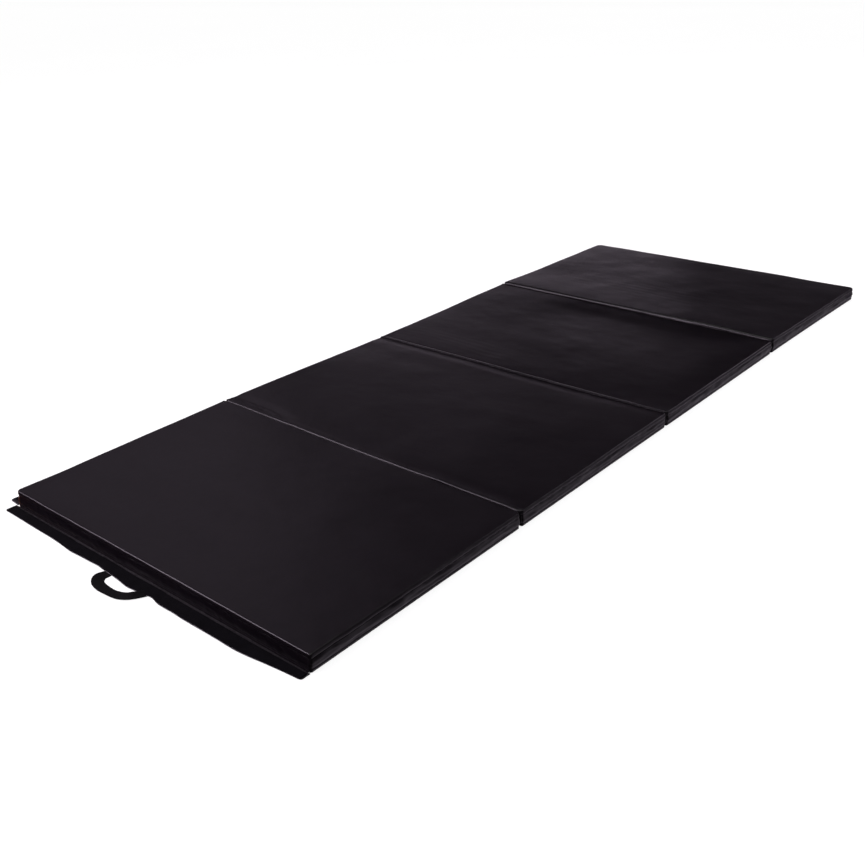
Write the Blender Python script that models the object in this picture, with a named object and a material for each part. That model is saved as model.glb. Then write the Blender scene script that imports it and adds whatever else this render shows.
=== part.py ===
"""Folding gym mat: four foam panels in sewn covers, joined by three cloth hinges.

The panels lie flat in a row along Y. The first and third hinge run along the underside and fold bottom
to bottom; the middle hinge runs along the top and folds top to top, so the mat closes as an accordion.
Joining flaps stand out of the near end and the left side, their hook strips are under the far end and
the right side, and a webbing handle leaves the underside at each end.

Frame: metres, +Z up, +Y along the mat from the near end to the far end, +X to the right. The origin is on
the floor, at the centre of the whole object's box with its flaps and handles.
"""

import math

import bmesh
import bpy
from mathutils import Vector

# Driving dimensions, metres
MAT_WIDTH = 1.2192
MAT_LENGTH = 3.048
THICKNESS = 0.050
PANEL_COUNT = 4
HINGE_GAP = 0.010  # between neighbouring panels
CLEAR = 0.0003  # between solids that touch on the real mat

SKIN = 0.0015  # cover cloth with its backing
HEM = 0.010  # how far the top and bottom skins turn round the side
CORNER_RADIUS = 0.010  # of a panel in plan
EDGE_ROLL = 0.004  # of a panel's long edges in section
HINGE_CLOTH = 0.001

FLAP_CLOTH = 0.0012
END_FLAP_REACH = 0.0425
SIDE_FLAP_REACH = 0.045
SIDE_FLAP_END_GAP = 0.004  # from a side flap's end to the end of its panel
FLAP_CORNER = 0.012
TAPE_WIDTH = 0.034  # loop tape on the flaps
TAPE_THICKNESS = 0.0012
TAPE_MARGIN = 0.003  # from the tape to the flap's outer edge

HOOK_WIDTH = 0.030
HOOK_THICKNESS = 0.0009
HOOK_EDGE = 0.014  # from the panel's edge to the hook tape

WEBBING_WIDTH = 0.028
WEBBING_THICKNESS = 0.002
HANDLE_REACH = 0.094  # beyond the end of the mat
HANDLE_SPAN = 0.190  # over both legs
HANDLE_BEND = 0.030  # radius of the webbing's middle line
TAB_LENGTH = 0.0125  # of webbing caught in the bottom seam

CORNER_STEPS = 4
BEND_STEPS = 6
ROOT_STEP = 36.0  # degrees a facet on the round end of a handle's leg
ROOT_RINGS = 3

# Worked out from them
PANEL_LENGTH = (MAT_LENGTH - (PANEL_COUNT - 1) * HINGE_GAP) / PANEL_COUNT
PANEL_PITCH = PANEL_LENGTH + HINGE_GAP
MAT_X = (CLEAR + SIDE_FLAP_REACH) / 2
HALF_WIDTH = MAT_WIDTH / 2
HALF_LENGTH = MAT_LENGTH / 2
HALF_PANEL = PANEL_LENGTH / 2
LEG_X = (HANDLE_SPAN - WEBBING_WIDTH) / 2
POCKET_DEPTH = HOOK_THICKNESS + CLEAR
END_FLAP_Z = WEBBING_THICKNESS + CLEAR  # the handle passes beneath the end flap
SIDE_FLAP_Z = CLEAR

MATERIALS = {
    "vinyl": ((0.016, 0.014, 0.016), 0.42),
    "vinyl_gusset": ((0.014, 0.012, 0.014), 0.48),
    "foam": ((0.72, 0.74, 0.76), 0.9),
    "loop_tape": ((0.020, 0.020, 0.022), 0.95),
    "hook_tape": ((0.016, 0.016, 0.017), 0.6),
    "webbing": ((0.018, 0.017, 0.018), 0.8),
}
SIDES = ("right", "far", "left", "near")  # in the order of their outward directions, from +X


def clear_scene():
    for old in list(bpy.data.objects):
        bpy.data.objects.remove(old)


def material(name):
    """The Principled material of one kind of cloth or foam."""
    found = bpy.data.materials.get(name)
    if found:
        return found
    colour, roughness = MATERIALS[name]
    made = bpy.data.materials.new(name)
    made.use_nodes = True
    shader = made.node_tree.nodes["Principled BSDF"]
    shader.inputs["Base Color"].default_value = (*colour, 1.0)
    shader.inputs["Roughness"].default_value = roughness
    shader.inputs["Metallic"].default_value = 0.0
    return made


def body(name, at, parent=None):
    """An empty on a moving body's axis, or at the origin for the body that stays put."""
    empty = bpy.data.objects.new(name, None)
    bpy.context.collection.objects.link(empty)
    empty.location = at
    if parent:
        empty.parent = parent
        empty.location = Vector(at) - world_place(parent)
    return empty


def world_place(thing):
    """Where an empty or part is, from its own location and its parents'."""
    place = Vector(thing.location)
    while thing.parent:
        thing = thing.parent
        place += thing.location
    return place


def part(name, bm, kind, carrier, at):
    """Makes one sub-part from a mesh, with its material, at a place on the body that carries it."""
    bmesh.ops.recalc_face_normals(bm, faces=bm.faces)
    mesh = bpy.data.meshes.new(name)
    bm.to_mesh(mesh)
    bm.free()
    made = bpy.data.objects.new(name, mesh)
    bpy.context.collection.objects.link(made)
    made.data.materials.append(material(kind))
    made.parent = carrier
    made.location = Vector(at) - world_place(carrier)
    return made


def prism(outline, low, high):
    """A flat outline drawn at one height and extruded to another."""
    bm = bmesh.new()
    base = bm.faces.new([bm.verts.new((x, y, low)) for x, y in outline])
    extruded = bmesh.ops.extrude_face_region(bm, geom=[base])["geom"]
    risen = [v for v in extruded if isinstance(v, bmesh.types.BMVert)]
    bmesh.ops.translate(bm, verts=risen, vec=(0.0, 0.0, high - low))
    return bm


def loft(rings):
    """A closed solid through rings of equally many points, with a face over the first and the last ring."""
    bm = bmesh.new()
    loops = []
    for ring in rings:
        verts = [bm.verts.new(p) for p in ring]
        pairs = zip(verts, verts[1:] + verts[:1])
        loops.append([bm.edges.new(pair) for pair in pairs])
        if ring is rings[0] or ring is rings[-1]:
            bm.faces.new(verts)
    for one, other in zip(loops, loops[1:]):
        bmesh.ops.bridge_loops(bm, edges=one + other)
    return bm


def arc(centre, radius, start, end, steps):
    """Points on a circle from one angle to another, in degrees."""
    points = []
    for step in range(steps + 1):
        angle = math.radians(start + (end - start) * step / steps)
        points.append((centre[0] + radius * math.cos(angle), centre[1] + radius * math.sin(angle)))
    return points


def corner_centre(index, half_x, half_y, radius):
    """Centre of a rectangle's corner arc; corner 0 is right and far, and they go anticlockwise."""
    x = half_x - radius if index in (0, 3) else radius - half_x
    y = half_y - radius if index in (0, 1) else radius - half_y
    return x, y


def rounded_rectangle(half_x, half_y, radius, inset=0.0):
    """Outline of a rectangle with round corners, moved inwards by inset."""
    points = []
    for index in range(4):
        centre = corner_centre(index, half_x, half_y, radius)
        points += arc(centre, radius - inset, 90 * index, 90 * (index + 1), CORNER_STEPS)
    return points


def rectangle(low_x, low_y, high_x, high_y):
    return [(low_x, low_y), (high_x, low_y), (high_x, high_y), (low_x, high_y)]


def panel_ring(inset, height):
    outline = rounded_rectangle(HALF_WIDTH, HALF_PANEL, CORNER_RADIUS, inset)
    return [(x, y, height) for x, y in outline]


def rolled_edge(thick):
    """(inset, drop from the face) down a panel's edge, at a depth of thick below its outer surface."""
    points = []
    for angle in (90, 60, 30, 0):
        reach = EDGE_ROLL - thick
        drop = EDGE_ROLL - reach * math.sin(math.radians(angle))
        points.append((EDGE_ROLL - reach * math.cos(math.radians(angle)), drop))
    return points


def cover_skin(name, on_top, carrier, at):
    """A panel's top or bottom skin: a sheet whose hem turns round the side."""
    def height(drop):
        return THICKNESS - drop if on_top else drop

    outer = rolled_edge(0.0) + [(0.0, HEM)]
    inner = rolled_edge(SKIN) + [(SKIN, HEM)]
    rings = [panel_ring(inset, height(drop)) for inset, drop in outer + inner[::-1]]
    return part(name, loft(rings), "vinyl", carrier, at)


def foam_core(name, carrier, at):
    """The foam block, which fills its cover."""
    edge = rolled_edge(SKIN + CLEAR)
    rings = [panel_ring(inset, drop) for inset, drop in edge]
    rings += [panel_ring(inset, THICKNESS - drop) for inset, drop in edge[::-1]]
    return part(name, loft(rings), "foam", carrier, at)


def gusset(name, side, carrier, at):
    """The side band between the two hems, from one corner seam to the next."""
    facing = 90 * SIDES.index(side)
    seam = math.degrees(math.asin(CLEAR / 2 / (CORNER_RADIUS - SKIN)))
    before = corner_centre((SIDES.index(side) - 1) % 4, HALF_WIDTH, HALF_PANEL, CORNER_RADIUS)
    after = corner_centre(SIDES.index(side), HALF_WIDTH, HALF_PANEL, CORNER_RADIUS)
    half_steps = CORNER_STEPS // 2

    def face(inset):
        radius = CORNER_RADIUS - inset
        first = arc(before, radius, facing - 45 + seam, facing, half_steps)
        return first + arc(after, radius, facing, facing + 45 - seam, half_steps)

    outline = face(0.0) + face(SKIN)[::-1]
    band = prism(outline, HEM + CLEAR, THICKNESS - HEM - CLEAR)
    return part(name, band, "vinyl_gusset", carrier, at)


def cut_pocket(skin, name, outline):
    """Sinks a shallow pocket into the underside of a bottom skin; the outline is in the panel's own frame."""
    cutter = part(name, prism(outline, -POCKET_DEPTH, POCKET_DEPTH), "vinyl", skin.parent, (0, 0, 0))
    cutter.location = skin.location
    cutter.hide_render = True
    cutter.display_type = "WIRE"
    cut = skin.modifiers.new(name, "BOOLEAN")
    cut.operation = "DIFFERENCE"
    cut.solver = "EXACT"
    cut.object = cutter


def grown(outline, by):
    """A rectangle's corners moved outwards on every side."""
    xs = [x for x, _ in outline]
    ys = [y for _, y in outline]
    return rectangle(min(xs) - by, min(ys) - by, max(xs) + by, max(ys) + by)


def sunk_strip(name, kind, outline, skin, carrier, at):
    """A strip sewn under a panel, in a pocket of its bottom skin."""
    cut_pocket(skin, name + "_pocket", grown(outline, CLEAR))
    part(name, prism(outline, 0.0, HOOK_THICKNESS), kind, carrier, at)


def panel(number, carrier, at):
    """One padded panel: a foam core in a cover of two skins and four gussets. Gives its bottom skin."""
    name = f"panel_{number}"
    foam_core(f"{name}_foam_core", carrier, at)
    cover_skin(f"{name}_top_skin", True, carrier, at)
    bottom = cover_skin(f"{name}_bottom_skin", False, carrier, at)
    for side in SIDES:
        gusset(f"{name}_{side}_gusset", side, carrier, at)
    return bottom


def side_hook_strip(number, bottom, carrier, at):
    """Hook tape under a panel's right edge, which a like mat's side flap grips."""
    outer = HALF_WIDTH - HOOK_EDGE
    end = HALF_PANEL - HOOK_EDGE
    if number == PANEL_COUNT:
        end -= HOOK_WIDTH + HOOK_EDGE / 2  # stops short of the tape along the far end
    outline = rectangle(outer - HOOK_WIDTH, HOOK_EDGE - HALF_PANEL, outer, end)
    sunk_strip(f"side_hook_strip_{number}", "hook_tape", outline, bottom, carrier, at)


def end_hook_strip(bottom, carrier, at):
    """Hook tape under the far end, which a like mat's end flap grips."""
    far = HALF_PANEL - HOOK_EDGE
    outline = rectangle(HOOK_EDGE - HALF_WIDTH, far - HOOK_WIDTH, HALF_WIDTH - HOOK_EDGE, far)
    sunk_strip("end_hook_strip", "hook_tape", outline, bottom, carrier, at)


def handle_tabs(end, bottom, carrier, at):
    """The two ends of a handle's webbing, caught in the bottom seam at the near or far end."""
    way = -1 if end == "near" else 1
    outer = way * (HALF_PANEL - CLEAR / 2)
    inner = way * (HALF_PANEL - TAB_LENGTH)
    for side, x in (("left", -LEG_X), ("right", LEG_X)):
        low_y, high_y = sorted((outer, inner))
        half = WEBBING_WIDTH / 2
        outline = rectangle(x - half, low_y, x + half, high_y)
        sunk_strip(f"{end}_handle_{side}_tab", "webbing", outline, bottom, carrier, at)


def handle_strap(end, carrier, at):
    """The webbing loop, flat on the floor. Its legs have round ends, so that it turns close to the mat."""
    way = -1 if end == "near" else 1
    half = WEBBING_THICKNESS / 2
    bend_y = HANDLE_REACH - WEBBING_WIDTH / 2 - HANDLE_BEND
    root = arc((CLEAR + half, 0.0), half, 180 - ROOT_STEP / 2, 90, ROOT_RINGS - 1)

    def edge(offset):
        right = [(LEG_X + offset, y, rise) for y, rise in root]
        bend = arc((LEG_X - HANDLE_BEND, bend_y), HANDLE_BEND + offset, 0, 90, BEND_STEPS)
        right += [(x, y, half) for x, y in bend]
        return right + [(-x, y, rise) for x, y, rise in right[::-1]]

    rings = []
    for (x, y, rise), (inner_x, inner_y, _) in zip(edge(WEBBING_WIDTH / 2), edge(-WEBBING_WIDTH / 2)):
        outer_side = [(x, way * y, half - rise), (x, way * y, half + rise)]
        inner_side = [(inner_x, way * inner_y, half + rise), (inner_x, way * inner_y, half - rise)]
        rings.append(outer_side + inner_side)
    return part(f"{end}_handle_strap", loft(rings), "webbing", carrier, at)


def hinge_cloth(number, edge, way, on_top, carrier):
    """Half of a hinge's cloth: from one panel's edge to just short of the fold line."""
    low, high = sorted((edge + way * CLEAR, edge + way * (HINGE_GAP - CLEAR) / 2))
    bottom = THICKNESS - HINGE_CLOTH if on_top else 0.0
    half = HALF_WIDTH - CORNER_RADIUS
    strip = prism(rectangle(-half, low, half, high), bottom, bottom + HINGE_CLOTH)
    side = "near" if way > 0 else "far"
    part(f"hinge_cloth_{number}_{side}", strip, "vinyl", carrier, (MAT_X, 0, 0))


def flap(name, outline, tape, low, carrier):
    """A joining flap lying level, with loop tape on its upper face."""
    cloth = prism(outline, low, low + FLAP_CLOTH)
    part(f"{name}_vinyl", cloth, "vinyl", carrier, (MAT_X, 0, 0))
    tape_low = low + FLAP_CLOTH + CLEAR
    strip = prism(tape, tape_low, tape_low + TAPE_THICKNESS)
    part(f"{name}_loop_tape", strip, "loop_tape", carrier, (MAT_X, 0, 0))


def flap_axis_height(low):
    """Height of the line that a flap turns about: just over its tape, so that it can stand by the gusset."""
    return low + FLAP_CLOTH + CLEAR + TAPE_THICKNESS + CLEAR


def end_flap(panel_body):
    """The flap along the near end's bottom edge, whose outer corners are round."""
    inner = -HALF_LENGTH - CLEAR
    outer = inner - END_FLAP_REACH
    half = HALF_WIDTH - CORNER_RADIUS
    axis = body("end_flap_axis", (MAT_X, -HALF_LENGTH, flap_axis_height(END_FLAP_Z)), panel_body)
    round_y = outer + FLAP_CORNER
    round_x = HALF_WIDTH - FLAP_CORNER
    outline = arc((-round_x, round_y), FLAP_CORNER, 180, 270, CORNER_STEPS)
    outline += arc((round_x, round_y), FLAP_CORNER, 270, 360, CORNER_STEPS)
    outline += [(HALF_WIDTH, inner), (-HALF_WIDTH, inner)]
    tape_y = outer + TAPE_MARGIN
    tape = rectangle(-half, tape_y, half, tape_y + TAPE_WIDTH)
    flap("end_flap", outline, tape, END_FLAP_Z, axis)


def side_flap(number, centre_y, panel_body):
    """The flap along one panel's left bottom edge."""
    inner = -HALF_WIDTH - CLEAR
    outer = inner - SIDE_FLAP_REACH
    low_y = centre_y - HALF_PANEL + SIDE_FLAP_END_GAP
    high_y = centre_y + HALF_PANEL - SIDE_FLAP_END_GAP
    place = (MAT_X - HALF_WIDTH, centre_y, flap_axis_height(SIDE_FLAP_Z))
    axis = body(f"side_flap_{number}_axis", place, panel_body)
    round_x = outer + FLAP_CORNER
    outline = [(inner, high_y)]
    outline += arc((round_x, high_y - FLAP_CORNER), FLAP_CORNER, 90, 180, CORNER_STEPS)
    outline += arc((round_x, low_y + FLAP_CORNER), FLAP_CORNER, 180, 270, CORNER_STEPS)
    outline += [(inner, low_y)]
    tape_x = outer + TAPE_MARGIN
    tape = rectangle(tape_x, low_y + FLAP_CORNER, tape_x + TAPE_WIDTH, high_y - FLAP_CORNER)
    flap(f"side_flap_{number}", outline, tape, SIDE_FLAP_Z, axis)


def handle(end, panel_body):
    """A carrying handle on a body that turns just beyond the bottom edge of the near or far end."""
    way = -1 if end == "near" else 1
    half = WEBBING_THICKNESS / 2
    place = (MAT_X, way * (HALF_LENGTH + CLEAR + half), half)
    axis = body(f"{end}_handle_axis", place, panel_body)
    handle_strap(end, axis, (MAT_X, way * HALF_LENGTH, 0))


def mat():
    """The whole mat. Panel 2 is the body that stays put, and the others fold from it."""
    centres = [(i - (PANEL_COUNT - 1) / 2) * PANEL_PITCH for i in range(PANEL_COUNT)]
    folds = [(a + b) / 2 for a, b in zip(centres, centres[1:])]
    below, above = -CLEAR, THICKNESS + CLEAR
    second = body("panel_2_base", (0, 0, 0))
    first = body("panel_1_axis", (MAT_X, folds[0], below), second)
    third = body("panel_3_axis", (MAT_X, folds[1], above), second)
    fourth = body("panel_4_axis", (MAT_X, folds[2], below), third)
    bodies = [first, second, third, fourth]
    bottoms = []
    for number, (carrier, y) in enumerate(zip(bodies, centres), start=1):
        place = (MAT_X, y, 0)
        bottoms.append(panel(number, carrier, place))
        side_hook_strip(number, bottoms[-1], carrier, place)
        side_flap(number, y, carrier)
    for number, y in enumerate(folds, start=1):
        on_top = number == 2
        hinge_cloth(number, y - HINGE_GAP / 2, 1, on_top, bodies[number - 1])
        hinge_cloth(number, y + HINGE_GAP / 2, -1, on_top, bodies[number])
    end_hook_strip(bottoms[-1], fourth, (MAT_X, centres[-1], 0))
    handle_tabs("near", bottoms[0], first, (MAT_X, centres[0], 0))
    handle_tabs("far", bottoms[-1], fourth, (MAT_X, centres[-1], 0))
    end_flap(first)
    handle("near", first)
    handle("far", fourth)


clear_scene()
mat()
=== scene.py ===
"""Folding gym mat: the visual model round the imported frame, with its floor, lights and camera."""
import math

import bpy
import numpy as np
from mathutils import Matrix, Vector


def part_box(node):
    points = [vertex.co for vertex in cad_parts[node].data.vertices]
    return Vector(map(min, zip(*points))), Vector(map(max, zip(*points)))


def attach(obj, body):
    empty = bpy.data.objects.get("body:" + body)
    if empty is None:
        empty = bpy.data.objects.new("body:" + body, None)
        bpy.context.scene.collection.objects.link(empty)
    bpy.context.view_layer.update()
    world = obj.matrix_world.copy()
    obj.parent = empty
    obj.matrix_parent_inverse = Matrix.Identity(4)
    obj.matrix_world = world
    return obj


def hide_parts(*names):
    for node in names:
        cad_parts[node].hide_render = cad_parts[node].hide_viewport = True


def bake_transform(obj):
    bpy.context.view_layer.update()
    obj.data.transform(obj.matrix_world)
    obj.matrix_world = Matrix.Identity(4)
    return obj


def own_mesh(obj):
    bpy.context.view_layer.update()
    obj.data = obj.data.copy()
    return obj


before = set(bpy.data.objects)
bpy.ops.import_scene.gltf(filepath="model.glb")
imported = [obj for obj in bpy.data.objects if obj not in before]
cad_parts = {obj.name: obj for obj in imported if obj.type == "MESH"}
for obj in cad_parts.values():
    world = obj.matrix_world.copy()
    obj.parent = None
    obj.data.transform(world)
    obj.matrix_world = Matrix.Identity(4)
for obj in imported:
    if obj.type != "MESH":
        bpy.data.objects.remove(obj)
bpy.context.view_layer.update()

# ---------------------------------------------------------------- sizes, metres
PANELS = (1, 2, 3, 4)
low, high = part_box("panel_1_top_skin")
MAT_X = (low.x + high.x) / 2
HALF_X = (high.x - low.x) / 2
HALF_Y = (high.y - low.y) / 2
THICK = high.z
CENTRE_Y = {n: sum(corner.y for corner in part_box(f"panel_{n}_top_skin")) / 2 for n in PANELS}
FOLD_Y = {k: (CENTRE_Y[k] + CENTRE_Y[k + 1]) / 2 for k in PANELS[:-1]}
FAR_Y = CENTRE_Y[4] + HALF_Y
UNDERSIDE_Z = 0.001  # of the panels, just above the sewn strips

# grid lines next to a panel's edge, by their distance from it, and the step between the others
EDGE_LINES = (0.0, 0.0004, 0.0015, 0.0031, 0.005, 0.007, 0.0095, 0.0122, 0.0155, 0.0195, 0.024, 0.029, 0.035)
GRID_STEP = 0.0070
# rows of points down a panel's side, as shares of its height
SIDE_ROWS = (1.0, 0.97, 0.94, 0.91, 0.88, 0.852, 0.832, 0.815, 0.80, 0.785, 0.768, 0.745, 0.70, 0.64, 0.57,
             0.50, 0.43, 0.36, 0.29, 0.23, 0.192, 0.17, 0.15, 0.13, 0.11, 0.08, 0.04, 0.0)
HEM_ROW = 0.80
LOW_SEAM_ROW = 0.15

SIDE_ROLL = 0.0042  # radius of the top's rolled edge along the mat's sides
BOTTOM_ROLL = 0.003
END_ROLL = {(1, -1): 0.0046, (1, 1): 0.0040, (2, -1): 0.0055, (2, 1): 0.0030,
            (3, -1): 0.0030, (3, 1): 0.0040, (4, -1): 0.0100, (4, 1): 0.0046}  # (panel, near or far end)
# radius of the mat's own corners, by panel, side (-1 left) and end (-1 near)
CORNERS = {(1, -1, -1): 0.019, (1, 1, -1): 0.009, (4, 1, 1): 0.021, (4, -1, 1): 0.030}
SEAM_CORNER = 0.0065  # radius of the other corners, beside the folds

CROWN = 0.0016  # how far the padding lifts the middle of the top
HINGE_PUFF = 0.0038  # how far it pushes a hinge side into the gap
HEM_BULGE = 0.0011
SIDE_BELLY = 0.0028
FLAP_ROOM = 0.0046  # how far a side leans back where a flap or the far handle stands up beside it
CORNER_PULL = 0.0095  # of the far right corner, to the right
UNDERSIDE_LIFT = 0.2  # share of the folds' lift that the underside follows

FOLD_1_LIFT = 0.0080
FOLD_3_LIFT = 0.0050
FOLD_3_STAND = 0.0098  # height of the fourth panel's near edge over its flat place
HOLLOW_Y = FOLD_Y[3] - 0.1295  # deepest place of the hollow in the third panel
HOLLOW_DEPTH = 0.0066
LENS_DEPTH = 0.0040  # of the hollow past the first fold, at the left
WAVES = ((0.0010, 0.42, 1.0, 3), (0.0009, 0.21, 1.0, 5), (0.00055, 0.095, 1.0, 8),
         (0.00020, 0.050, 1.3, 9), (0.00005, 0.026, 1.2, 10))  # height, size, how much finer along y, seed
FOLD_2_PROFILE = ((-0.055, 0.0), (-0.0165, -0.0018), (-0.0070, 0.0006), (0.0, 0.0010), (0.0065, -0.0016),
                  (0.0135, 0.0003), (0.045, 0.0))  # distance past the middle fold, height

CLOTH = 0.0011  # thickness of a flap's cloth
HINGE_CLOTH = 0.0009
HINGE_TOP_REACH = 0.0085  # of the cloth over the middle fold, to each side
HINGE_BOTTOM_REACH = 0.0052  # of the cloths under the other two
WEBBING_WIDTH = 0.028
WEBBING_THICK = 0.0016

STITCH_PITCH = 0.0072
STITCH_LENGTH = 0.0052
THREAD_THICK = 0.0009
THREAD_SIDES = 6
STITCH_SECTIONS = ((0.0, 0.3), (0.2, 1.0), (0.5, 1.1), (0.8, 1.0), (1.0, 0.3))  # shares: length, thickness


# ---------------------------------------------------------------- helpers
def smooth(a, b, v):
    """0 below a, 1 above b, and an even curve between them."""
    t = np.clip((v - a) / (b - a), 0.0, 1.0)
    return t * t * (3 - 2 * t)


def bump(v, centre, width):
    """A bell curve: 1 at the centre, and about a third of it at a width away."""
    return np.exp(-(((v - centre) / width) ** 2))


def noise(x, y, size, seed):
    """Smooth random heights from -1 to 1, with features about size across."""
    table = np.random.default_rng(seed).uniform(-1, 1, (97, 97))
    gx, gy = np.asarray(x) / size + 31.7, np.asarray(y) / size + 17.3
    ix, iy = np.floor(gx).astype(int), np.floor(gy).astype(int)
    fx, fy = gx - ix, gy - iy
    fx, fy = (f * f * f * (f * (6 * f - 15) + 10) for f in (fx, fy))
    a, b = table[ix % 97, iy % 97], table[(ix + 1) % 97, iy % 97]
    c, d = table[ix % 97, (iy + 1) % 97], table[(ix + 1) % 97, (iy + 1) % 97]
    return (a * (1 - fx) + b * fx) * (1 - fy) + (c * (1 - fx) + d * fx) * fy


def new_mesh(name, verts, faces, material):
    """A smooth-shaded object from lists of points and faces."""
    mesh = bpy.data.meshes.new(name)
    mesh.from_pydata(np.asarray(verts, float).tolist(), [], [tuple(map(int, f)) for f in faces])
    mesh.update()
    mesh.shade_smooth()
    made = bpy.data.objects.new(name, mesh)
    bpy.context.scene.collection.objects.link(made)
    mesh.materials.append(material)
    return made


def stitches(name, line, face, body):
    """A row of thread stitches along a run of points; face is the way the cloth looks at each point."""
    line, face = np.asarray(line, float), np.asarray(face, float)
    along = np.concatenate([[0.0], np.cumsum(np.linalg.norm(np.diff(line, axis=0), axis=1))])
    middles = np.arange(STITCH_PITCH / 2, along[-1] - STITCH_LENGTH / 2, STITCH_PITCH)

    def read(values, at):
        """Values along the run, read at a distance along it."""
        return np.stack([np.interp(at, along, values[:, k]) for k in range(3)], 1)

    start, end = (read(line, middles + s * STITCH_LENGTH / 2) for s in (-1, 1))
    out = read(face, middles)
    out /= np.linalg.norm(out, axis=1, keepdims=True)
    side = np.cross(out, end - start)
    side /= np.linalg.norm(side, axis=1, keepdims=True)
    points = []
    for share, size in STITCH_SECTIONS:
        arch = 0.15 + 0.35 * math.sin(math.pi * share)  # highest in its middle
        centre = start + (end - start) * share + out * THREAD_THICK * arch
        for k in range(THREAD_SIDES):
            turn = 2 * math.pi * k / THREAD_SIDES
            points.append(centre + (out * math.cos(turn) + side * math.sin(turn)) * size * THREAD_THICK / 2)
    verts = np.stack(points, 1).reshape(-1, 3)
    last = len(points) - THREAD_SIDES
    one_stitch = [tuple(range(THREAD_SIDES - 1, -1, -1)), tuple(range(last, len(points)))]
    for ring in range(0, last, THREAD_SIDES):
        for k in range(THREAD_SIDES):
            n = (k + 1) % THREAD_SIDES
            one_stitch.append((ring + k, ring + n, ring + THREAD_SIDES + n, ring + THREAD_SIDES + k))
    faces = [tuple(len(points) * n + v for v in f) for n in range(len(middles)) for f in one_stitch]
    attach(new_mesh(name, verts, faces, THREAD), body)


# ---------------------------------------------------------------- materials
class Nodes:
    """A short way to write a material's nodes."""

    def __init__(self, name):
        self.material = bpy.data.materials.new(name)
        self.material.use_nodes = True
        self.tree = self.material.node_tree
        self.shader = self.tree.nodes["Principled BSDF"]
        self.place = self.add("TexCoord").outputs["Object"]

    def add(self, kind, links=None, **values):
        node = self.tree.nodes.new("ShaderNode" + kind)
        for key, value in values.items():
            setattr(node, key, value)
        for socket, source in (links or {}).items():
            self.put(node.inputs[socket], source)
        return node

    def put(self, socket, source):
        if isinstance(source, bpy.types.NodeSocket):
            self.tree.links.new(source, socket)
        else:
            socket.default_value = source

    def set(self, **values):
        """Set the main shader's sockets, by their names with underscores for spaces."""
        for key, value in values.items():
            self.put(self.shader.inputs[key.replace("_", " ")], value)

    def noise(self, scale, detail=2.0, roughness=0.5, place=None):
        made = self.add("TexNoise", {"Vector": place or self.place, "Scale": scale, "Detail": detail,
                                     "Roughness": roughness})
        return made.outputs["Fac"]

    def stretched(self, x, y, z):
        return self.add("Mapping", {"Vector": self.place, "Scale": (x, y, z)}).outputs["Vector"]

    def between(self, value, low_in, high_in, low_out, high_out):
        """Stretch a value from one range to another."""
        return self.add("MapRange", {"Value": value, "From Min": low_in, "From Max": high_in,
                                     "To Min": low_out, "To Max": high_out}).outputs["Result"]

    def ramp(self, value, stops):
        made = self.add("ValToRGB", {"Fac": value})
        ramp = made.color_ramp
        while len(ramp.elements) < len(stops):
            ramp.elements.new(0.5)
        for element, (at, colour) in zip(ramp.elements, stops):
            element.position = at
            element.color = (*colour, 1.0)
        return made.outputs["Color"]

    def math(self, operation, a, b=None):
        made = self.add("Math", operation=operation)
        self.put(made.inputs[0], a)
        if b is not None:
            self.put(made.inputs[1], b)
        return made.outputs[0]

    def bump(self, height, distance, strength=1.0, under=None):
        links = {"Height": height, "Distance": distance, "Strength": strength}
        if under is not None:
            links["Normal"] = under
        return self.add("Bump", links).outputs["Normal"]


def vinyl(name, base, light, dark_rough, light_rough):
    """Coated cloth: satin, with fine leather grain, faint handling marks and uneven gloss."""
    m = Nodes(name)
    cloud = m.noise(2.3, 4.0, 0.55)
    fine = m.noise(38.0, 3.0, 0.6)
    tone = m.math("ADD", m.math("MULTIPLY", cloud, 0.65), m.math("MULTIPLY", fine, 0.35))
    m.set(Base_Color=m.ramp(tone, ((0.3, base), (0.72, light))))
    smear = m.noise(1.0, 3.0, 0.6, m.stretched(3.0, 11.0, 7.0))
    marks = m.math("MULTIPLY", m.math("ADD", smear, cloud), 0.5)
    m.set(Roughness=m.between(marks, 0.3, 0.7, dark_rough, light_rough))
    soft = m.bump(m.noise(60.0, 2.0, 0.5), 0.0007, 0.25)
    crease = m.bump(m.noise(16.0, 2.0, 0.45, m.stretched(1.0, 1.3, 1.2)), 0.0022, 0.22, soft)
    grain = m.add("TexVoronoi", {"Vector": m.place, "Scale": 620.0}).outputs["Distance"]
    m.set(Normal=m.bump(grain, 0.00012, 0.35, crease), IOR=1.5, Specular_IOR_Level=0.5)
    return m.material


def rough_tape(name, base, light, scale, stretch):
    """Hook or loop tape: matt, covered in tiny pile in rows."""
    m = Nodes(name)
    pile = m.noise(scale, 5.0, 0.75, m.stretched(*stretch))
    cloud = m.noise(22.0, 3.0, 0.6)
    tone = m.math("MULTIPLY", m.math("ADD", pile, cloud), 0.5)
    m.set(Base_Color=m.ramp(tone, ((0.32, base), (0.7, light))))
    m.set(Roughness=m.between(pile, 0.2, 0.8, 0.99, 0.85), Specular_IOR_Level=0.08)
    m.set(Sheen_Weight=0.015, Sheen_Roughness=0.5)
    fuzz = m.bump(m.noise(scale * 0.35, 4.0, 0.7), 0.0012, 0.6)
    m.set(Normal=m.bump(pile, 0.0012, 0.9, fuzz))
    return m.material


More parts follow.
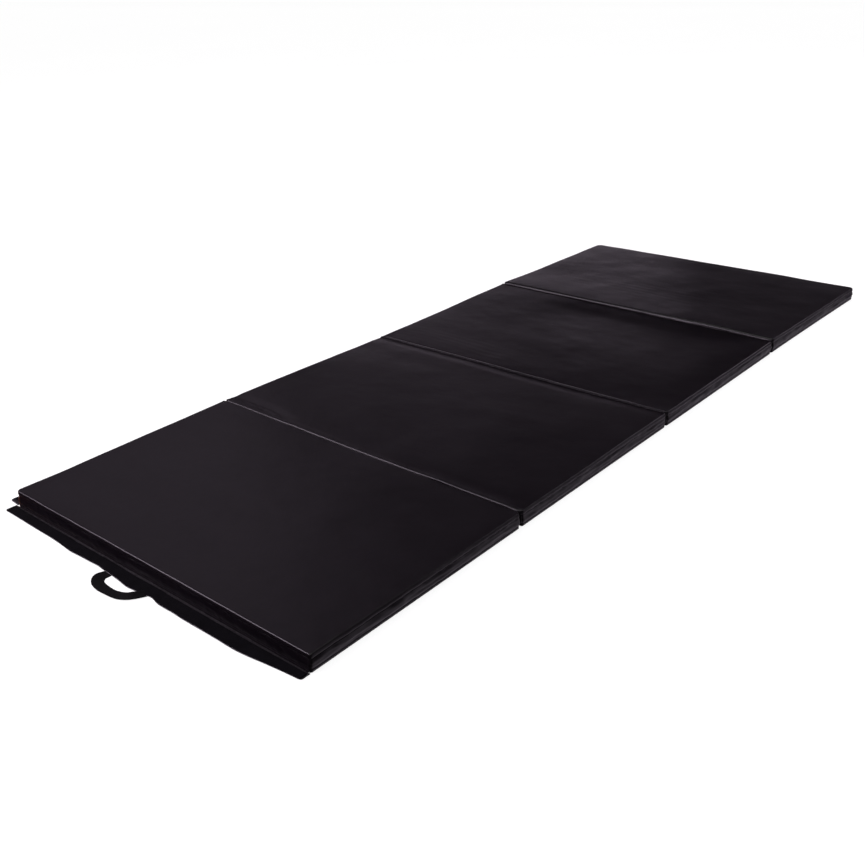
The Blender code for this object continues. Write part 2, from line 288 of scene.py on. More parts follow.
def woven(name, base, light, across, along, follows_strap=True):
    """Webbing: a ribbed plain weave, along a strap's own coordinates or straight along x and y."""
    m = Nodes(name)
    place = m.add("Attribute", attribute_name="weave").outputs["Vector"] if follows_strap else m.place
    split = m.add("SeparateXYZ", {"Vector": place})
    ribs = m.math("SINE", m.math("MULTIPLY", split.outputs["X"], across))
    rows = m.math("SINE", m.math("MULTIPLY", split.outputs["Y"], along))
    weave = m.math("MULTIPLY", ribs, rows)
    height = m.math("ADD", m.math("MULTIPLY", weave, 0.5), m.math("MULTIPLY", ribs, 0.35))
    fibre = m.noise(420.0, 4.0, 0.7)
    tone = m.math("ADD", m.math("MULTIPLY", m.between(height, -0.8, 0.8, 0.0, 1.0), 0.6),
                  m.math("MULTIPLY", fibre, 0.4))
    m.set(Base_Color=m.ramp(tone, ((0.25, base), (0.8, light))))
    m.set(Roughness=m.between(fibre, 0.3, 0.7, 0.62, 0.85), Specular_IOR_Level=0.14, Sheen_Weight=0.01)
    m.set(Normal=m.bump(height, 0.0007, 0.7, m.bump(fibre, 0.0004, 0.4)))
    return m.material


def plain_thread(name, base, light):
    """Thread: a fine twist, a little glossier than the cloth."""
    m = Nodes(name)
    twist = m.noise(1500.0, 2.0, 0.6)
    m.set(Base_Color=m.ramp(twist, ((0.3, base), (0.7, light))))
    m.set(Roughness=m.between(twist, 0.3, 0.7, 0.45, 0.7), Normal=m.bump(twist, 0.0002, 0.5))
    return m.material


def foam_block(name):
    """Pale closed-cell foam."""
    m = Nodes(name)
    cells = m.add("TexVoronoi", {"Vector": m.place, "Scale": 420.0}).outputs["Distance"]
    cloud = m.noise(14.0, 3.0, 0.6)
    m.set(Base_Color=m.ramp(cloud, ((0.3, (0.66, 0.68, 0.71)), (0.7, (0.76, 0.78, 0.8)))))
    m.set(Roughness=m.between(cloud, 0.3, 0.7, 0.85, 0.97), Normal=m.bump(cells, 0.0008, 0.7))
    return m.material


STRAP_DARK, STRAP_LIGHT = (0.0024, 0.0022, 0.0025), (0.0110, 0.0104, 0.0114)
RIBS, ROWS = 3000.0, 2100.0  # radians in a metre of webbing, across and along
VINYL = vinyl("black_vinyl", (0.0055, 0.0034, 0.0058), (0.0088, 0.0058, 0.0092), 0.27, 0.37)
GUSSET = vinyl("black_vinyl_gusset", (0.0052, 0.0032, 0.0055), (0.0084, 0.0054, 0.0088), 0.28, 0.40)
LOOP = rough_tape("loop_tape", (0.0022, 0.0019, 0.0028), (0.0090, 0.0078, 0.0106), 900.0, (1.0, 1.0, 1.0))
HOOK = rough_tape("hook_tape", (0.0060, 0.0060, 0.0064), (0.022, 0.022, 0.023), 700.0, (1.0, 2.5, 1.0))
WEBBING = woven("webbing", STRAP_DARK, STRAP_LIGHT, RIBS, ROWS)
TAB_WEBBING = woven("tab_webbing", STRAP_DARK, STRAP_LIGHT, RIBS, ROWS, follows_strap=False)
THREAD = plain_thread("black_thread", (0.008, 0.0075, 0.008), (0.028, 0.027, 0.029))
FOAM = foam_block("foam")


# ---------------------------------------------------------------- padded panels
def grid_lines(half):
    """Places of the grid lines over a panel that reaches half to each side, closest at its edges."""
    inner = half - EDGE_LINES[-1]
    middle = np.linspace(-inner, inner, round(2 * inner / GRID_STEP) + 1)
    outer = -half + np.array(EDGE_LINES[:-1])
    return np.concatenate([outer, middle, -outer[::-1]])


def rolled(reach, radius):
    """How far the face has dropped at a distance from the edge of a roll."""
    left = np.clip(radius - reach, 0.0, None)
    return radius - np.sqrt(np.clip(radius * radius - left * left, 0.0, None))


def plan_place(x, y, corner_radius):
    """Where grid points go on a plan with round corners, their distance from the edge, and the way out."""
    px = np.abs(x) - (HALF_X - corner_radius)
    py = np.abs(y) - (HALF_Y - corner_radius)
    corner = (px > 0) & (py > 0)
    angle = np.arctan2(np.clip(py, 1e-9, None), np.clip(px, 1e-9, None))
    reach = np.maximum(px, py)
    out_x = np.where(corner, np.cos(angle), (px > py) * 1.0)
    out_y = np.where(corner, np.sin(angle), (px <= py) * 1.0)
    new_x = np.where(corner, HALF_X - corner_radius + reach * np.cos(angle), np.abs(x))
    new_y = np.where(corner, HALF_Y - corner_radius + reach * np.sin(angle), np.abs(y))
    sx, sy = np.where(x < 0, -1, 1), np.where(y < 0, -1, 1)
    return new_x * sx, new_y * sy, corner_radius - reach, out_x * sx, out_y * sy


def loop_indices(nx, ny):
    """Grid indices round the border, anticlockwise from the left near corner."""
    bottom = [i * ny for i in range(nx)]
    right = [(nx - 1) * ny + j for j in range(1, ny)]
    top = [i * ny + ny - 1 for i in range(nx - 2, -1, -1)]
    left = [j for j in range(ny - 2, 0, -1)]
    return np.array(bottom + right + top + left)


def tent(x, y):
    """How far the first and third fold stand off the floor, from the folds' memory: most at the left."""
    first = np.clip(1 - np.abs(y - FOLD_Y[1]) / 0.62, 0, 1)
    third = np.clip(1 - np.abs(y - FOLD_Y[3]) / 0.60, 0, 1)
    rise = FOLD_1_LIFT * first * (1 - smooth(-0.60, 0.20, x))
    return rise + FOLD_3_LIFT * third * (1 - smooth(-0.60, 0.55, x))


def soft_waves(x, y):
    """Slack in the top skin, less of it at the third fold."""
    wave = sum(height * noise(x, y * finer, size, seed) for height, size, finer, seed in WAVES)
    return wave * (1 - 0.6 * np.clip(1 - np.abs(y - FOLD_Y[3]) / 0.1, 0, 1))


def third_fold(x, y):
    """A wide hollow before the third fold, a small lip at it, and the fourth panel's edge past it."""
    before = np.clip(FOLD_Y[3] - 0.004 - y, 0, None)
    middle = smooth(-0.36, -0.12, x) * (1 - smooth(0.34, 0.58, x))
    hollow = np.where(y < HOLLOW_Y, bump(y, HOLLOW_Y, 0.26), bump(y, HOLLOW_Y, 0.070))
    near_side = middle * (0.0010 * np.exp(-before / 0.050) - HOLLOW_DEPTH * hollow)
    near_side += 0.0012 * bump(before, 0.0065, 0.0045) * (1 - smooth(0.45, 0.60, x))
    stand = FOLD_3_STAND * (1 - 0.5 * smooth(0.36, 0.60, x)) - tent(x, FOLD_Y[3] + 0 * y)
    far_side = stand * np.exp(-np.clip(y - FOLD_Y[3], 0, None) / 0.16)
    return near_side * (y < FOLD_Y[3]) + far_side * (y > FOLD_Y[3])


def first_fold(x, y):
    """Past the first fold: a lens-shaped hollow at the left, a lip at the right, a groove between them."""
    past = np.clip(y - FOLD_Y[1] - 0.002, 0, None)
    left = smooth(-0.66, -0.54, x) * (1 - smooth(-0.40, -0.28, x))
    right = smooth(0.20, 0.34, x) * (1 - smooth(0.54, 0.61, x))
    height = -left * LENS_DEPTH * bump(past, 0.043 - 0.020 * smooth(-0.45, -0.28, x), 0.016)
    height += right * (0.0028 * np.clip(1 - past / 0.024, 0, 1) - 0.0006 * bump(past, 0.040, 0.010))
    height -= 0.0009 * bump(past, 0.0175, 0.0045) * (1 - left) * (1 - right)
    return height * (y > FOLD_Y[1])


def middle_fold(x, y):
    """The cover drawn down beside the middle fold, and raised over its cloth."""
    distances, heights = zip(*FOLD_2_PROFILE)
    return np.interp(y - FOLD_Y[2], distances, heights) * (1 - 0.35 * smooth(0.1, 0.5, x))


def fine_wrinkles(x, y):
    """Rows of small wrinkles past the middle fold, at the left, and in the middle of the fourth panel."""
    shifted = y + 0.010 * noise(x, y, 0.3, 21) + 0.004 * noise(x, y, 0.09, 23)
    left = (1 - smooth(-0.2, 0.1, x)) * (0.4 + 0.6 * smooth(-0.62, -0.52, x))
    at_fold = bump(y, FOLD_Y[2] + 0.085, 0.07) * left
    uneven = 0.6 + 0.4 * noise(x, y, 0.08, 25)
    bent = shifted + 0.006 * noise(x, y, 0.12, 26)
    rows = 0.00026 * uneven * np.sin(2 * math.pi * bent / 0.027) * at_fold
    on_panel_4 = bump(y, FOLD_Y[3] + 0.2555, 0.12) * bump(x, -0.05, 0.32)
    broken = 0.5 + 0.5 * noise(x, y, 0.07, 24)
    return rows + 0.00016 * broken * np.sin(2 * math.pi * shifted / 0.034) * on_panel_4


def top_height(x, y):
    """Height of the top skin over its flat place: soft waves, and what each fold does to it."""
    return soft_waves(x, y) + third_fold(x, y) + first_fold(x, y) + middle_fold(x, y) + fine_wrinkles(x, y)


def side_bulge(around, row, corner, end, beside_flap):
    """How far the side stands out: a hem band and a gusset between pulled-in seams, with small puckers."""
    band = np.sin(np.clip((row - HEM_ROW) / (1 - HEM_ROW), 0, 1) * math.pi) * HEM_BULGE
    middle = np.clip((row - LOW_SEAM_ROW) / (HEM_ROW - LOW_SEAM_ROW), 0, 1)
    belly = np.sin(middle * math.pi) * (1 - 0.5 * beside_flap)
    out = band + belly * (SIDE_BELLY + 0.0016 * noise(around, row, 0.13, 31))
    out += 0.0017 * belly * noise(around, row * 0.09, 0.042, 33)
    out += 0.0009 * belly * noise(around + row * 0.05, row * 0.05, 0.018, 34)
    long_folds = np.sin(row * 34 + 6 * noise(around, 0 * row, 0.16, 41))
    out += 0.0007 * belly * long_folds * noise(around, row, 0.3, 43)
    for seam, seed in ((HEM_ROW, 35), (LOW_SEAM_ROW, 37)):
        out -= (0.0017 - 0.0010 * end) * bump(row, seam, 0.017)
        puckers = np.exp(-np.abs(row - seam) / 0.13)
        out += 0.0010 * puckers * noise(around, row * 0.02, 0.011, seed)
    out += 0.0012 * (row - 0.5) * noise(around, 0 * row, 0.16, 39)
    at_floor = 0.0012  # of the room for a flap; the rest comes by 62 % of the height
    out -= (at_floor + (FLAP_ROOM - at_floor) * np.clip(row / 0.62, 0, 1)) * beside_flap
    return out - 0.0013 * corner * smooth(0.0, 0.1, row) * (1 - smooth(0.9, 1.0, row))


def corner_pull(x, y):
    """How far the cover is drawn out sideways towards the far right corner."""
    start = FOLD_Y[3] + 0.0355
    return CORNER_PULL * np.clip(x / HALF_X, 0, 1) ** 3 * np.clip((y - start) / (FAR_Y - start), 0, 1) ** 1.5


def hinge_push(number, gx, gy, row):
    """How far the padding leans into the gap at a hinge end, along y."""
    at_hinge = np.where(gy < 0, number > 1, number < 4)
    shown = smooth(0.0, 0.016, HALF_X - np.abs(gx))
    lean = 1 - smooth(0.0, 0.040, HALF_Y - np.abs(gy))
    rise = smooth(0.03, 0.30, row)
    third = np.where(gy < 0, number == 4, number == 3)  # the third fold stays open
    return np.sign(gy) * HINGE_PUFF * (1 - 0.7 * third) * at_hinge * shown * lean * rise


PANEL_PARTS = ("foam_core", "top_skin", "bottom_skin", "right_gusset", "far_gusset", "left_gusset",
               "near_gusset")


def panel(number):
    """One padded panel as a closed skin: top, sides with their seams, and underside."""
    xs, ys = grid_lines(HALF_X), grid_lines(HALF_Y)
    nx, ny = len(xs), len(ys)
    gx, gy = (g.ravel() for g in np.meshgrid(xs, ys, indexing="ij"))
    radius = np.full(len(gx), SEAM_CORNER)
    for (which, right, far), size in CORNERS.items():
        if which == number:
            radius[(gx * right > 0) & (gy * far > 0)] = size
    px, py, reach, ox, oy = plan_place(gx, gy, radius)
    cy = CENTRE_Y[number]
    end_roll = np.where(py < 0, END_ROLL[number, -1], END_ROLL[number, 1])
    roll = SIDE_ROLL * ox * ox + end_roll * oy * oy
    lift = top_height(px, py + cy)
    raised = tent(px, py + cy)
    free_end = {1: oy < 0, 4: oy > 0}.get(number, np.zeros(len(oy), bool))
    beside = (ox < 0) * ox ** 2 + free_end * oy ** 2  # where a flap or the far handle stands up
    inset = FLAP_ROOM * beside * (1 - smooth(0.004, 0.035, reach)) * (reach > 0)
    crown = CROWN * (1 - (px / HALF_X) ** 8) * (1 - (py / HALF_Y) ** 8)

    ring = loop_indices(nx, ny)
    step = np.hypot(np.diff(px[ring], append=px[ring[0]]), np.diff(py[ring], append=py[ring[0]]))
    along = np.concatenate([[0.0], np.cumsum(step)[:-1]]) + 7.0 * number  # so that no two sides are alike
    corner = smooth(0.93, 1.0, np.abs(ox[ring] * oy[ring]) * 2)
    outward = np.stack([ox[ring], oy[ring]], 1)
    px = px + corner_pull(px, py + cy)
    plan = np.stack([px[ring], py[ring]], 1)

    def side_place(row):
        """Where the side's points are, in plan, at one row."""
        row_at = np.full(len(ring), row)
        place = plan + outward * side_bulge(along, row_at, corner, oy[ring] ** 2, beside[ring])[:, None]
        place[:, 1] += hinge_push(number, gx[ring], gy[ring], row_at)
        return place

    top = np.stack([px - inset * ox, py - inset * oy + hinge_push(number, gx, gy, np.ones(len(gx))),
                    THICK - rolled(reach, roll) + crown + lift + raised], 1)
    top[ring, :2] = side_place(1.0)
    rim = top[ring, 2]
    low_z = UNDERSIDE_Z + BOTTOM_ROLL + UNDERSIDE_LIFT * raised[ring]
    rows = [np.column_stack([side_place(row), low_z + (rim - low_z) * row]) for row in SIDE_ROWS[1:]]
    under = np.stack([px, py, UNDERSIDE_Z + rolled(reach, BOTTOM_ROLL) + UNDERSIDE_LIFT * raised], 1)
    under[ring] = rows[-1]
    verts = np.concatenate([top] + rows[:-1] + [under]) + (MAT_X, cy, 0)

    count, around = nx * ny, len(ring)
    a = (np.arange(nx - 1)[:, None] * ny + np.arange(ny - 1)).ravel()
    upper_faces = np.stack([a, a + ny, a + ny + 1, a + 1], 1)
    base = count + (len(rows) - 1) * around
    loops = [ring] + [count + k * around + np.arange(around) for k in range(len(rows) - 1)] + [base + ring]
    sides = [np.stack([u, v, np.roll(v, -1), np.roll(u, -1)], 1) for u, v in zip(loops, loops[1:])]
    under_faces = base + np.stack([a, a + 1, a + ny + 1, a + ny], 1)
    faces = np.concatenate([upper_faces] + sides + [under_faces])
    made = new_mesh(f"panel_{number}_cover", verts, faces, VINYL)
    made.data.materials.append(GUSSET)
    indices = np.zeros(len(made.data.polygons), np.int32)
    indices[len(a):len(a) + len(sides) * around] = 1
    made.data.polygons.foreach_set("material_index", indices)
    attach(made, f"panel_{number}")
    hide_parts(*[f"panel_{number}_{part}" for part in PANEL_PARTS])
    if number in (1, 4):  # their raised edges would meet over the middle fold
        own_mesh(made)
    else:
        hem = rows[SIDE_ROWS.index(HEM_ROW) - 1]
        hem = np.concatenate([hem, hem[:1]]) + (MAT_X, cy, 0)
        facing = np.column_stack([np.concatenate([outward, outward[:1]]), np.zeros(len(hem))])
        stitches(f"panel_{number}_hem_stitches", hem, facing, f"panel_{number}")


for panel_number in PANELS:
    panel(panel_number)


# ---------------------------------------------------------------- cloth strips
def strip(name, columns, thickness, material):
    """A thin closed strip of cloth: columns of points on its middle surface, thickened to both sides."""
    grid = np.array(columns, float)
    nu, nv = grid.shape[:2]
    normal = np.cross(np.gradient(grid, axis=0), np.gradient(grid, axis=1))
    normal /= np.linalg.norm(normal, axis=2, keepdims=True)
    upper = (grid + normal * thickness / 2).reshape(-1, 3)
    lower = (grid - normal * thickness / 2).reshape(-1, 3)
    faces = []
    count = nu * nv
    for i in range(nu - 1):
        for j in range(nv - 1):
            a = i * nv + j
            faces.append((a, a + nv, a + nv + 1, a + 1))
            faces.append((count + a, count + a + 1, count + a + nv + 1, count + a + nv))
    ring = loop_indices(nu, nv)
    for a, b in zip(ring, np.roll(ring, -1)):
        faces.append((a, count + a, count + b, b))
    return new_mesh(name, np.concatenate([upper, lower]), faces, material)


def flap_surface(length, width, corner, steps_along, steps_across):
    """Grid over a flap with two round outer corners, in its own (along, out) coordinates."""
    u = np.linspace(-1, 1, steps_along)
    closer_at_ends = 0.35 * np.sin(u * math.pi / 2) + 0.65 * u
    grid = np.zeros((steps_along, steps_across, 2))
    for j, reach in enumerate(np.linspace(0, width, steps_across)):
        past = max(0.0, reach - (width - corner))
        pull = corner - math.sqrt(max(corner * corner - past * past, 0.0))
        grid[:, j, 0] = closer_at_ends * (length / 2 - pull)
        grid[:, j, 1] = reach
    return grid


def end_flap():
    """The joining flap along the near end: narrower to the left and cut away to the right corner."""
    low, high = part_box("end_flap_vinyl")
    length, width = high.x - low.x, high.y - low.y

    def shape(x):
        """How far the flap reaches out at x, as a share of its full width."""
        reach = 0.036 + 0.0115 * smooth(-0.50, 0.28, x) - 0.0190 * smooth(0.40, 0.61, x)
        reach = reach + 0.0040 * bump(x, -0.255, 0.060) + 0.0050 * bump(x, 0.0, 0.036)
        reach = reach - 0.0030 * bump(x, -0.140, 0.026) - 0.0062 * bump(x, 0.093, 0.024)
        return (reach + 0.0006 * noise(x, 0 * x, 0.035, 55)) / width

    def place(grid, lift):
        """The flap's points at a height over its lowest: rippled, and raised where the handle is under it."""
        x, out = grid[..., 0], grid[..., 1]
        ripple = 1 + noise(x, out, 0.075, 53)
        droop = smooth(0.0, 0.015, out)
        over_handle = np.clip(bump(x, -0.086, 0.034) + bump(x, 0.064, 0.034), 0, 1)
        z = low.z + 0.0006 + lift - 0.0012 * droop * (1 - over_handle) + 0.0011 * droop * ripple
        return np.stack([MAT_X + x, high.y - out * shape(x), z], -1)

    cloth = strip("end_flap_cloth", place(flap_surface(length, width, 0.010, 261, 15), 0.0), CLOTH, VINYL)
    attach(cloth, "end_flap")
    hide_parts("end_flap_vinyl")
    tape_grid = flap_surface(length - 0.008, width, 0.008, 261, 13)
    tape_grid[..., 1] = 0.0072 + tape_grid[..., 1] / width * (width - 0.0082)
    tape = strip("end_flap_tape", place(tape_grid, 0.0013), 0.0014, LOOP)
    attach(tape, "end_flap")
    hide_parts("end_flap_loop_tape")
    x = np.linspace(-length / 2 + 0.008, length / 2 - 0.012, 261)
    line = place(np.stack([x, 0.0052 + 0 * x], -1), 0.0007)
    stitches("end_flap_stitches", line, np.tile((0.0, 0.0, 1.0), (len(x), 1)), "end_flap")


def side_flap(number):
    """The joining flap along one panel's left side, with a slightly wavy edge."""
    low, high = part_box(f"side_flap_{number}_vinyl")
    length, width = high.y - low.y, high.x - low.x
    middle = (low.y + high.y) / 2

    def place(grid, lift):
        """The flap's points at a height over its lowest, lifted where the cover beside it is."""
        y, out = grid[..., 0], grid[..., 1]
        wave = 0.0016 * noise(y + number, out, 0.12, 61) + 0.0007 * noise(y + number, out, 0.045, 62)
        ripple = 1 + noise(y + number, out, 0.07, 63)
        z = low.z + 0.0006 + lift + 0.0002 * smooth(0, 0.02, out) * ripple
        if number == 1:  # its near corner curls up
            z = z + 0.0024 * smooth(length / 2 - 0.05, length / 2, -y) * smooth(0.0, width, out)
        raised = tent(high.x - MAT_X + 0 * y, middle + y)
        z = z + UNDERSIDE_LIFT * raised * (1 - smooth(0.0, width, out))
        return np.stack([high.x - out + wave * out / width, middle + y, z], -1)

    surface = flap_surface(length, width, 0.012, 121, 15)
    cloth = strip(f"side_flap_{number}_cloth", place(surface, 0.0), CLOTH, VINYL)
    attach(cloth, f"side_flap_{number}")
    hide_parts(f"side_flap_{number}_vinyl")
    tape_grid = flap_surface(length - 0.024, width, 0.0001, 121, 13)
    tape_grid[..., 1] = 0.0085 + tape_grid[..., 1] / width * 0.0335
    tape = strip(f"side_flap_{number}_tape", place(tape_grid, 0.0012), 0.0011, LOOP)
    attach(tape, f"side_flap_{number}")
    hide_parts(f"side_flap_{number}_loop_tape")


end_flap()
for panel_number in PANELS:
    side_flap(panel_number)


def hinge(number):
    """The cloth over or under one fold, a little hollow between two panels' edges."""
    low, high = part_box(f"hinge_cloth_{number}_near")
    half_x = (high.x - low.x) / 2
    fold = FOLD_Y[number]
    on_top = number == 2
    reach = HINGE_TOP_REACH if on_top else HINGE_BOTTOM_REACH
    gx, gy = np.meshgrid(np.linspace(-half_x, half_x, 141), np.linspace(-reach, reach, 15), indexing="ij")
    raised = tent(gx, gy + fold)
    if on_top:
        hollow = 0.0005 * bump(gy, 0, 0.0022) + 0.0006 * smooth(0.004, reach, np.abs(gy))
        z = THICK + HINGE_CLOTH - hollow + top_height(gx, gy + fold) + raised
    else:
        z = low.z + 0.0006 + 0.0004 * noise(gx, gy, 0.05, 70 + number) + 0.0006 * bump(gy, 0, 0.003)
        z = z + UNDERSIDE_LIFT * raised
    made = strip(f"hinge_cloth_{number}", np.stack([gx + MAT_X, gy + fold, z], -1), HINGE_CLOTH, VINYL)
    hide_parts(f"hinge_cloth_{number}_near", f"hinge_cloth_{number}_far")
    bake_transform(made)


for fold_number in FOLD_Y:
    hinge(fold_number)


# ---------------------------------------------------------------- handles
def spline(t, values, at):
    """A smooth curve through values at whole numbers t (Catmull-Rom)."""
    ends_added = np.concatenate([[2 * values[0] - values[1]], values, [2 * values[-1] - values[-2]]])
    i = np.clip(np.floor(at).astype(int), 0, len(t) - 2)
    f = at - i
    a, b, c, d = (ends_added[i + k] for k in range(4))
    curved = (2 * a - 5 * b + 4 * c - d) * f * f + (3 * b - a - 3 * c + d) * f ** 3
    return 0.5 * (2 * b + (c - a) * f + curved)


def ribbon(name, loop, body, node):
    """Webbing along a loop of (x, y, z, tilt in degrees from level, width)."""
    t = np.arange(len(loop))
    fine_t = np.linspace(0, len(loop) - 1, (len(loop) - 1) * 9 + 1)
    x, y, z, tilt, width = (spline(t, np.array(values, float), fine_t) for values in zip(*loop))
    path = np.stack([MAT_X + x, y, z], 1)
    tilt = np.radians(tilt)
    ahead = np.gradient(path, axis=0)
    ahead /= np.linalg.norm(ahead, axis=1, keepdims=True)
    level = np.cross(ahead, (0, 0, 1.0))
    level /= np.linalg.norm(level, axis=1, keepdims=True)
    rise = np.cross(level, ahead)
    across = np.cos(tilt)[:, None] * level + np.sin(tilt)[:, None] * rise
    over = np.cross(across, ahead)
    section = []  # a flat oval: places across, from -1 to 1, and heights in thicknesses
    for side in (1, -1):
        for s in np.linspace(-1, 1, 9) * side:
            section.append((s, side * (0.5 * (1 - abs(s) ** 6) + 0.12)))
    length = np.concatenate([[0], np.cumsum(np.linalg.norm(np.diff(path, axis=0), axis=1))])
    verts, weave = [], []
    for k in range(len(path)):
        for s, h in section:
            verts.append(path[k] + across[k] * s * width[k] / 2 + over[k] * h * WEBBING_THICK)
            weave.append((s * width[k] / 2, length[k], 0.0))
    n = len(section)
    faces = [tuple(range(n))[::-1], tuple(range(len(verts) - n, len(verts)))]
    for k in range(len(path) - 1):
        for i in range(n):
            j = (i + 1) % n
            faces.append((k * n + i, k * n + j, (k + 1) * n + j, (k + 1) * n + i))
    made = new_mesh(name, verts, faces, WEBBING)
    attribute = made.data.attributes.new("weave", "FLOAT_VECTOR", "POINT")
    attribute.data.foreach_set("vector", np.array(weave, np.float32).ravel())
    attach(made, body)
    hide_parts(node)


NEAR_LOOP = (
    (-0.084, -1.5262, 0.0012, 0, 0.029), (-0.086, -1.548, 0.0012, 0, 0.029),
    (-0.0895, -1.572, 0.0022, 4, 0.032), (-0.0885, -1.591, 0.0040, 9, 0.034),
    (-0.070, -1.6080, 0.0044, 10, 0.032), (-0.040, -1.6140, 0.0042, 9, 0.033),
    (-0.008, -1.6130, 0.0038, 8, 0.031), (0.020, -1.6080, 0.0040, -4, 0.028),
    (0.040, -1.6010, 0.0062, -16, 0.024), (0.0535, -1.590, 0.0076, -22, 0.023),
    (0.0620, -1.575, 0.0062, -15, 0.024), (0.067, -1.555, 0.0024, -4, 0.027),
    (0.070, -1.5262, 0.0012, 0, 0.028))
FAR_LOOP = (
    (0.081, 1.5262, 0.0012, 0), (0.082, 1.545, 0.0012, 0), (0.080, 1.572, 0.0014, 2),
    (0.066, 1.594, 0.0020, 5), (0.042, 1.604, 0.0024, 6), (0.012, 1.606, 0.0022, 3),
    (-0.020, 1.605, 0.0020, -3), (-0.050, 1.601, 0.0022, -4), (-0.072, 1.588, 0.0018, -3),
    (-0.082, 1.566, 0.0012, 0), (-0.082, 1.545, 0.0012, 0), (-0.081, 1.5262, 0.0012, 0))
ribbon("near_handle", NEAR_LOOP, "near_handle", "near_handle_strap")
ribbon("far_handle", [point + (WEBBING_WIDTH,) for point in FAR_LOOP], "far_handle", "far_handle_strap")

NODE_FINISH = {"loop": LOOP, "hook": HOOK, "handle": TAB_WEBBING, "foam": FOAM}
for node_name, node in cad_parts.items():
    for material_slot in node.material_slots:
        matches = [finish for word, finish in NODE_FINISH.items() if word in node_name]
        material_slot.material = matches[0] if matches else VINYL

# ---------------------------------------------------------------- floor, lights, camera
FLOOR_RINGS = (2.0, 6.0, 20.0, 80.0, 400.0)
FLOOR_SPOKES = 64
floor_material = Nodes("pale_floor")
floor_shade = floor_material.ramp(floor_material.noise(0.7, 3.0),
                                  ((0.3, (0.86, 0.86, 0.86)), (0.7, (0.90, 0.90, 0.90))))
floor_material.set(Base_Color=floor_shade, Roughness=0.9, Specular_IOR_Level=0.0)
floor_material.set(Emission_Color=(1, 1, 1, 1), Emission_Strength=0.80)
floor_material.set(Alpha=0.62)  # parts that swing under the floor stay visible as paler shapes
turns = [2 * math.pi * k / FLOOR_SPOKES for k in range(FLOOR_SPOKES)]
floor_verts = [(0, 0, 0)]
for radius in FLOOR_RINGS:
    floor_verts += [(radius * math.cos(turn), radius * math.sin(turn), 0) for turn in turns]
floor_faces = []
for k in range(FLOOR_SPOKES):
    n = (k + 1) % FLOOR_SPOKES
    floor_faces.append((0, 1 + k, 1 + n))
    for start in range(1, 1 + (len(FLOOR_RINGS) - 1) * FLOOR_SPOKES, FLOOR_SPOKES):
        outer = start + FLOOR_SPOKES
        floor_faces.append((start + k, outer + k, outer + n, start + n))
floor = new_mesh("floor", floor_verts, floor_faces, floor_material.material)
floor.visible_glossy = False

world = bpy.data.worlds.new("studio")
bpy.context.scene.world = world
world.use_nodes = True
tree = world.node_tree
way = tree.nodes.new("ShaderNodeTexCoord").outputs["Generated"]


def vector_math(operation, first, second, socket=1):
    """A vector node; each input is another node's output or a constant."""
    made = tree.nodes.new("ShaderNodeVectorMath")
    made.operation = operation
    for place, source in ((0, first), (socket, second)):
        if isinstance(source, bpy.types.NodeSocket):
            tree.links.new(source, made.inputs[place])
        else:
            made.inputs[place].default_value = source
    return made


def fade_between(value, start, end, curve="LINEAR"):
    """0 at the start and 1 at the end."""
    made = tree.nodes.new("ShaderNodeMapRange")
    made.interpolation_type = curve
    made.inputs["From Min"].default_value = start
    made.inputs["From Max"].default_value = end
    tree.links.new(value, made.inputs["Value"])
    return made.outputs["Result"]


def soft_patch(towards, outer, inner, colour):
    """A round patch of light in one direction, with an outer and an inner cosine."""
    cosine = vector_math("DOT_PRODUCT", way, Vector(towards).normalized()).outputs["Value"]
    return vector_math("SCALE", colour, fade_between(cosine, outer, inner, "SMOOTHSTEP"), "Scale").outputs[0]


pale_patch = soft_patch((0.50, 0.62, -0.60), 0.40, 0.98, (0.34, 0.30, 0.35))
dim_patch = soft_patch((-0.55, 0.55, -0.62), 0.5, 1.0, (0.10, 0.09, 0.10))
brown_patch = soft_patch((-0.95, 0.16, -0.26), 0.90, 0.99, (0.75, 0.19, 0.08))
patches = vector_math("ADD", vector_math("ADD", pale_patch, dim_patch).outputs[0], brown_patch).outputs[0]
split_way = tree.nodes.new("ShaderNodeSeparateXYZ")
tree.links.new(way, split_way.inputs[0])
below_horizon = fade_between(split_way.outputs["Z"], 0.0, -0.12)
background = tree.nodes["Background"]
tree.links.new(vector_math("SCALE", patches, below_horizon, "Scale").outputs[0], background.inputs["Color"])
white = tree.nodes.new("ShaderNodeBackground")
white.inputs["Color"].default_value = (1, 1, 1, 1)
white.inputs["Strength"].default_value = 0.97
ray = tree.nodes.new("ShaderNodeLightPath")
mix = tree.nodes.new("ShaderNodeMixShader")
tree.links.new(ray.outputs["Is Camera Ray"], mix.inputs["Fac"])
tree.links.new(background.outputs[0], mix.inputs[1])
tree.links.new(white.outputs[0], mix.inputs[2])
tree.links.new(mix.outputs[0], tree.nodes["World Output"].inputs["Surface"])


def direction(azimuth, elevation):
    """The way of an angle from +X and an angle from level, in degrees."""
    a, e = math.radians(azimuth), math.radians(elevation)
    return Vector((math.cos(e) * math.cos(a), math.cos(e) * math.sin(a), math.sin(e)))


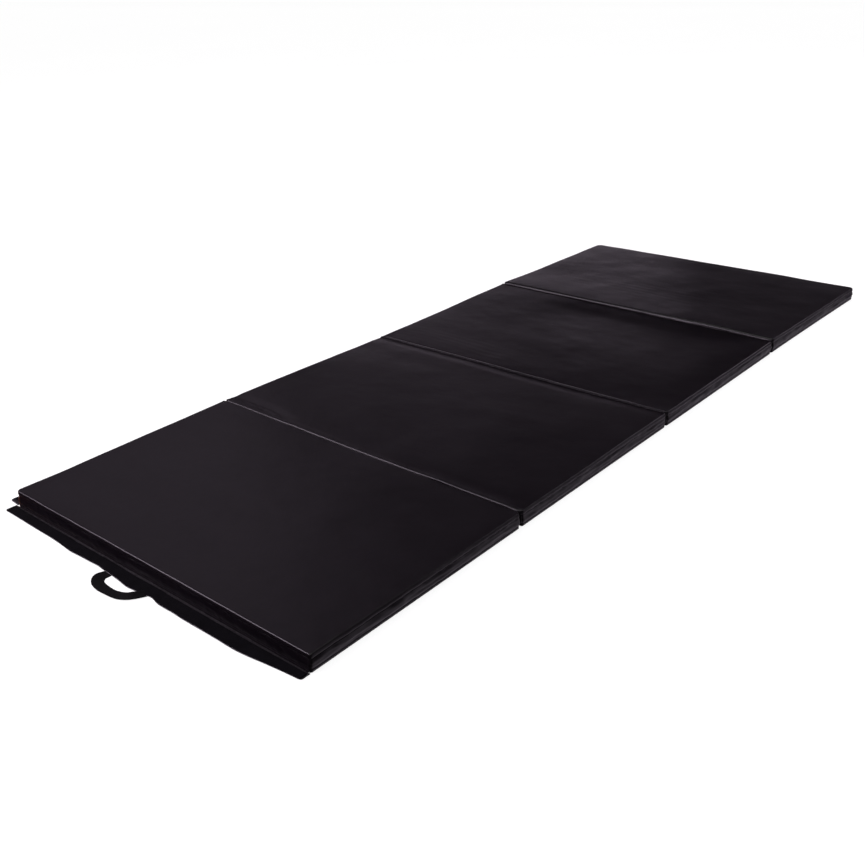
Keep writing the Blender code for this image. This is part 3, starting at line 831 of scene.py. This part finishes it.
def place_light(name, data, energy, azimuth, elevation, distance):
    """Put a light in a direction from the mat's middle and aim it there."""
    data.energy = energy
    made = bpy.data.objects.new(name, data)
    bpy.context.scene.collection.objects.link(made)
    out = direction(azimuth, elevation)
    made.location = out * distance
    made.rotation_euler = (-out).to_track_quat("-Z", "Y").to_euler()
    made.visible_camera = False


SOFT_TINT = (1.0, 0.86, 1.02)
SOFT_LIGHTS = (  # name, energy, azimuth, elevation, distance, width, height
    ("horizon_strip", 21.0, 128, 6, 10.0, 5.0, 1.2),
    ("horizon_end", 2.8, 106, 6, 10.0, 2.0, 1.2),
    ("mid_softbox", 1.0, 136, 24, 8.0, 2.2, 2.0),
    ("left_softbox", 7.0, 160, 40, 8.0, 3.5, 2.4),
    ("low_left_softbox", 4.2, 160, 24, 8.0, 3.6, 1.8),
    ("near_edge_light", 205.0, 229, 32, 7.0, 5.0, 1.5),
    ("right_edge_light", 50.0, 60, 26, 7.0, 4.0, 1.5))
sun = bpy.data.lights.new("overhead", "SUN")
sun.angle = math.radians(60)
place_light("overhead", sun, 0.72, 100, 88, 6.0)
for light_name, energy, azimuth, elevation, distance, light_width, light_height in SOFT_LIGHTS:
    area = bpy.data.lights.new(light_name, "AREA")
    area.shape = "RECTANGLE"
    area.size, area.size_y = light_width, light_height
    area.color = SOFT_TINT
    place_light(light_name, area, energy, azimuth, elevation, distance)

CAMERA_AT = Vector((MAT_X + 2.00823, -2.66093, 1.41670))
CAMERA_AZIMUTH, CAMERA_ELEVATION = 131.81, -25.627
CAMERA_ROLL = math.radians(-2.585)
ahead = direction(CAMERA_AZIMUTH, CAMERA_ELEVATION)
level = ahead.cross(Vector((0, 0, 1))).normalized()
upright = level.cross(ahead)
right = math.cos(CAMERA_ROLL) * level + math.sin(CAMERA_ROLL) * upright
up = -math.sin(CAMERA_ROLL) * level + math.cos(CAMERA_ROLL) * upright
camera_data = bpy.data.cameras.new("camera")
camera_data.lens = 43.04
camera_data.sensor_width = 36.0
camera_data.clip_end = 1000.0
camera = bpy.data.objects.new("camera", camera_data)
bpy.context.scene.collection.objects.link(camera)
camera.matrix_world = Matrix.Translation(CAMERA_AT) @ Matrix((right, up, -ahead)).transposed().to_4x4()
bpy.context.scene.camera = camera
bpy.context.scene.view_settings.view_transform = "Standard"
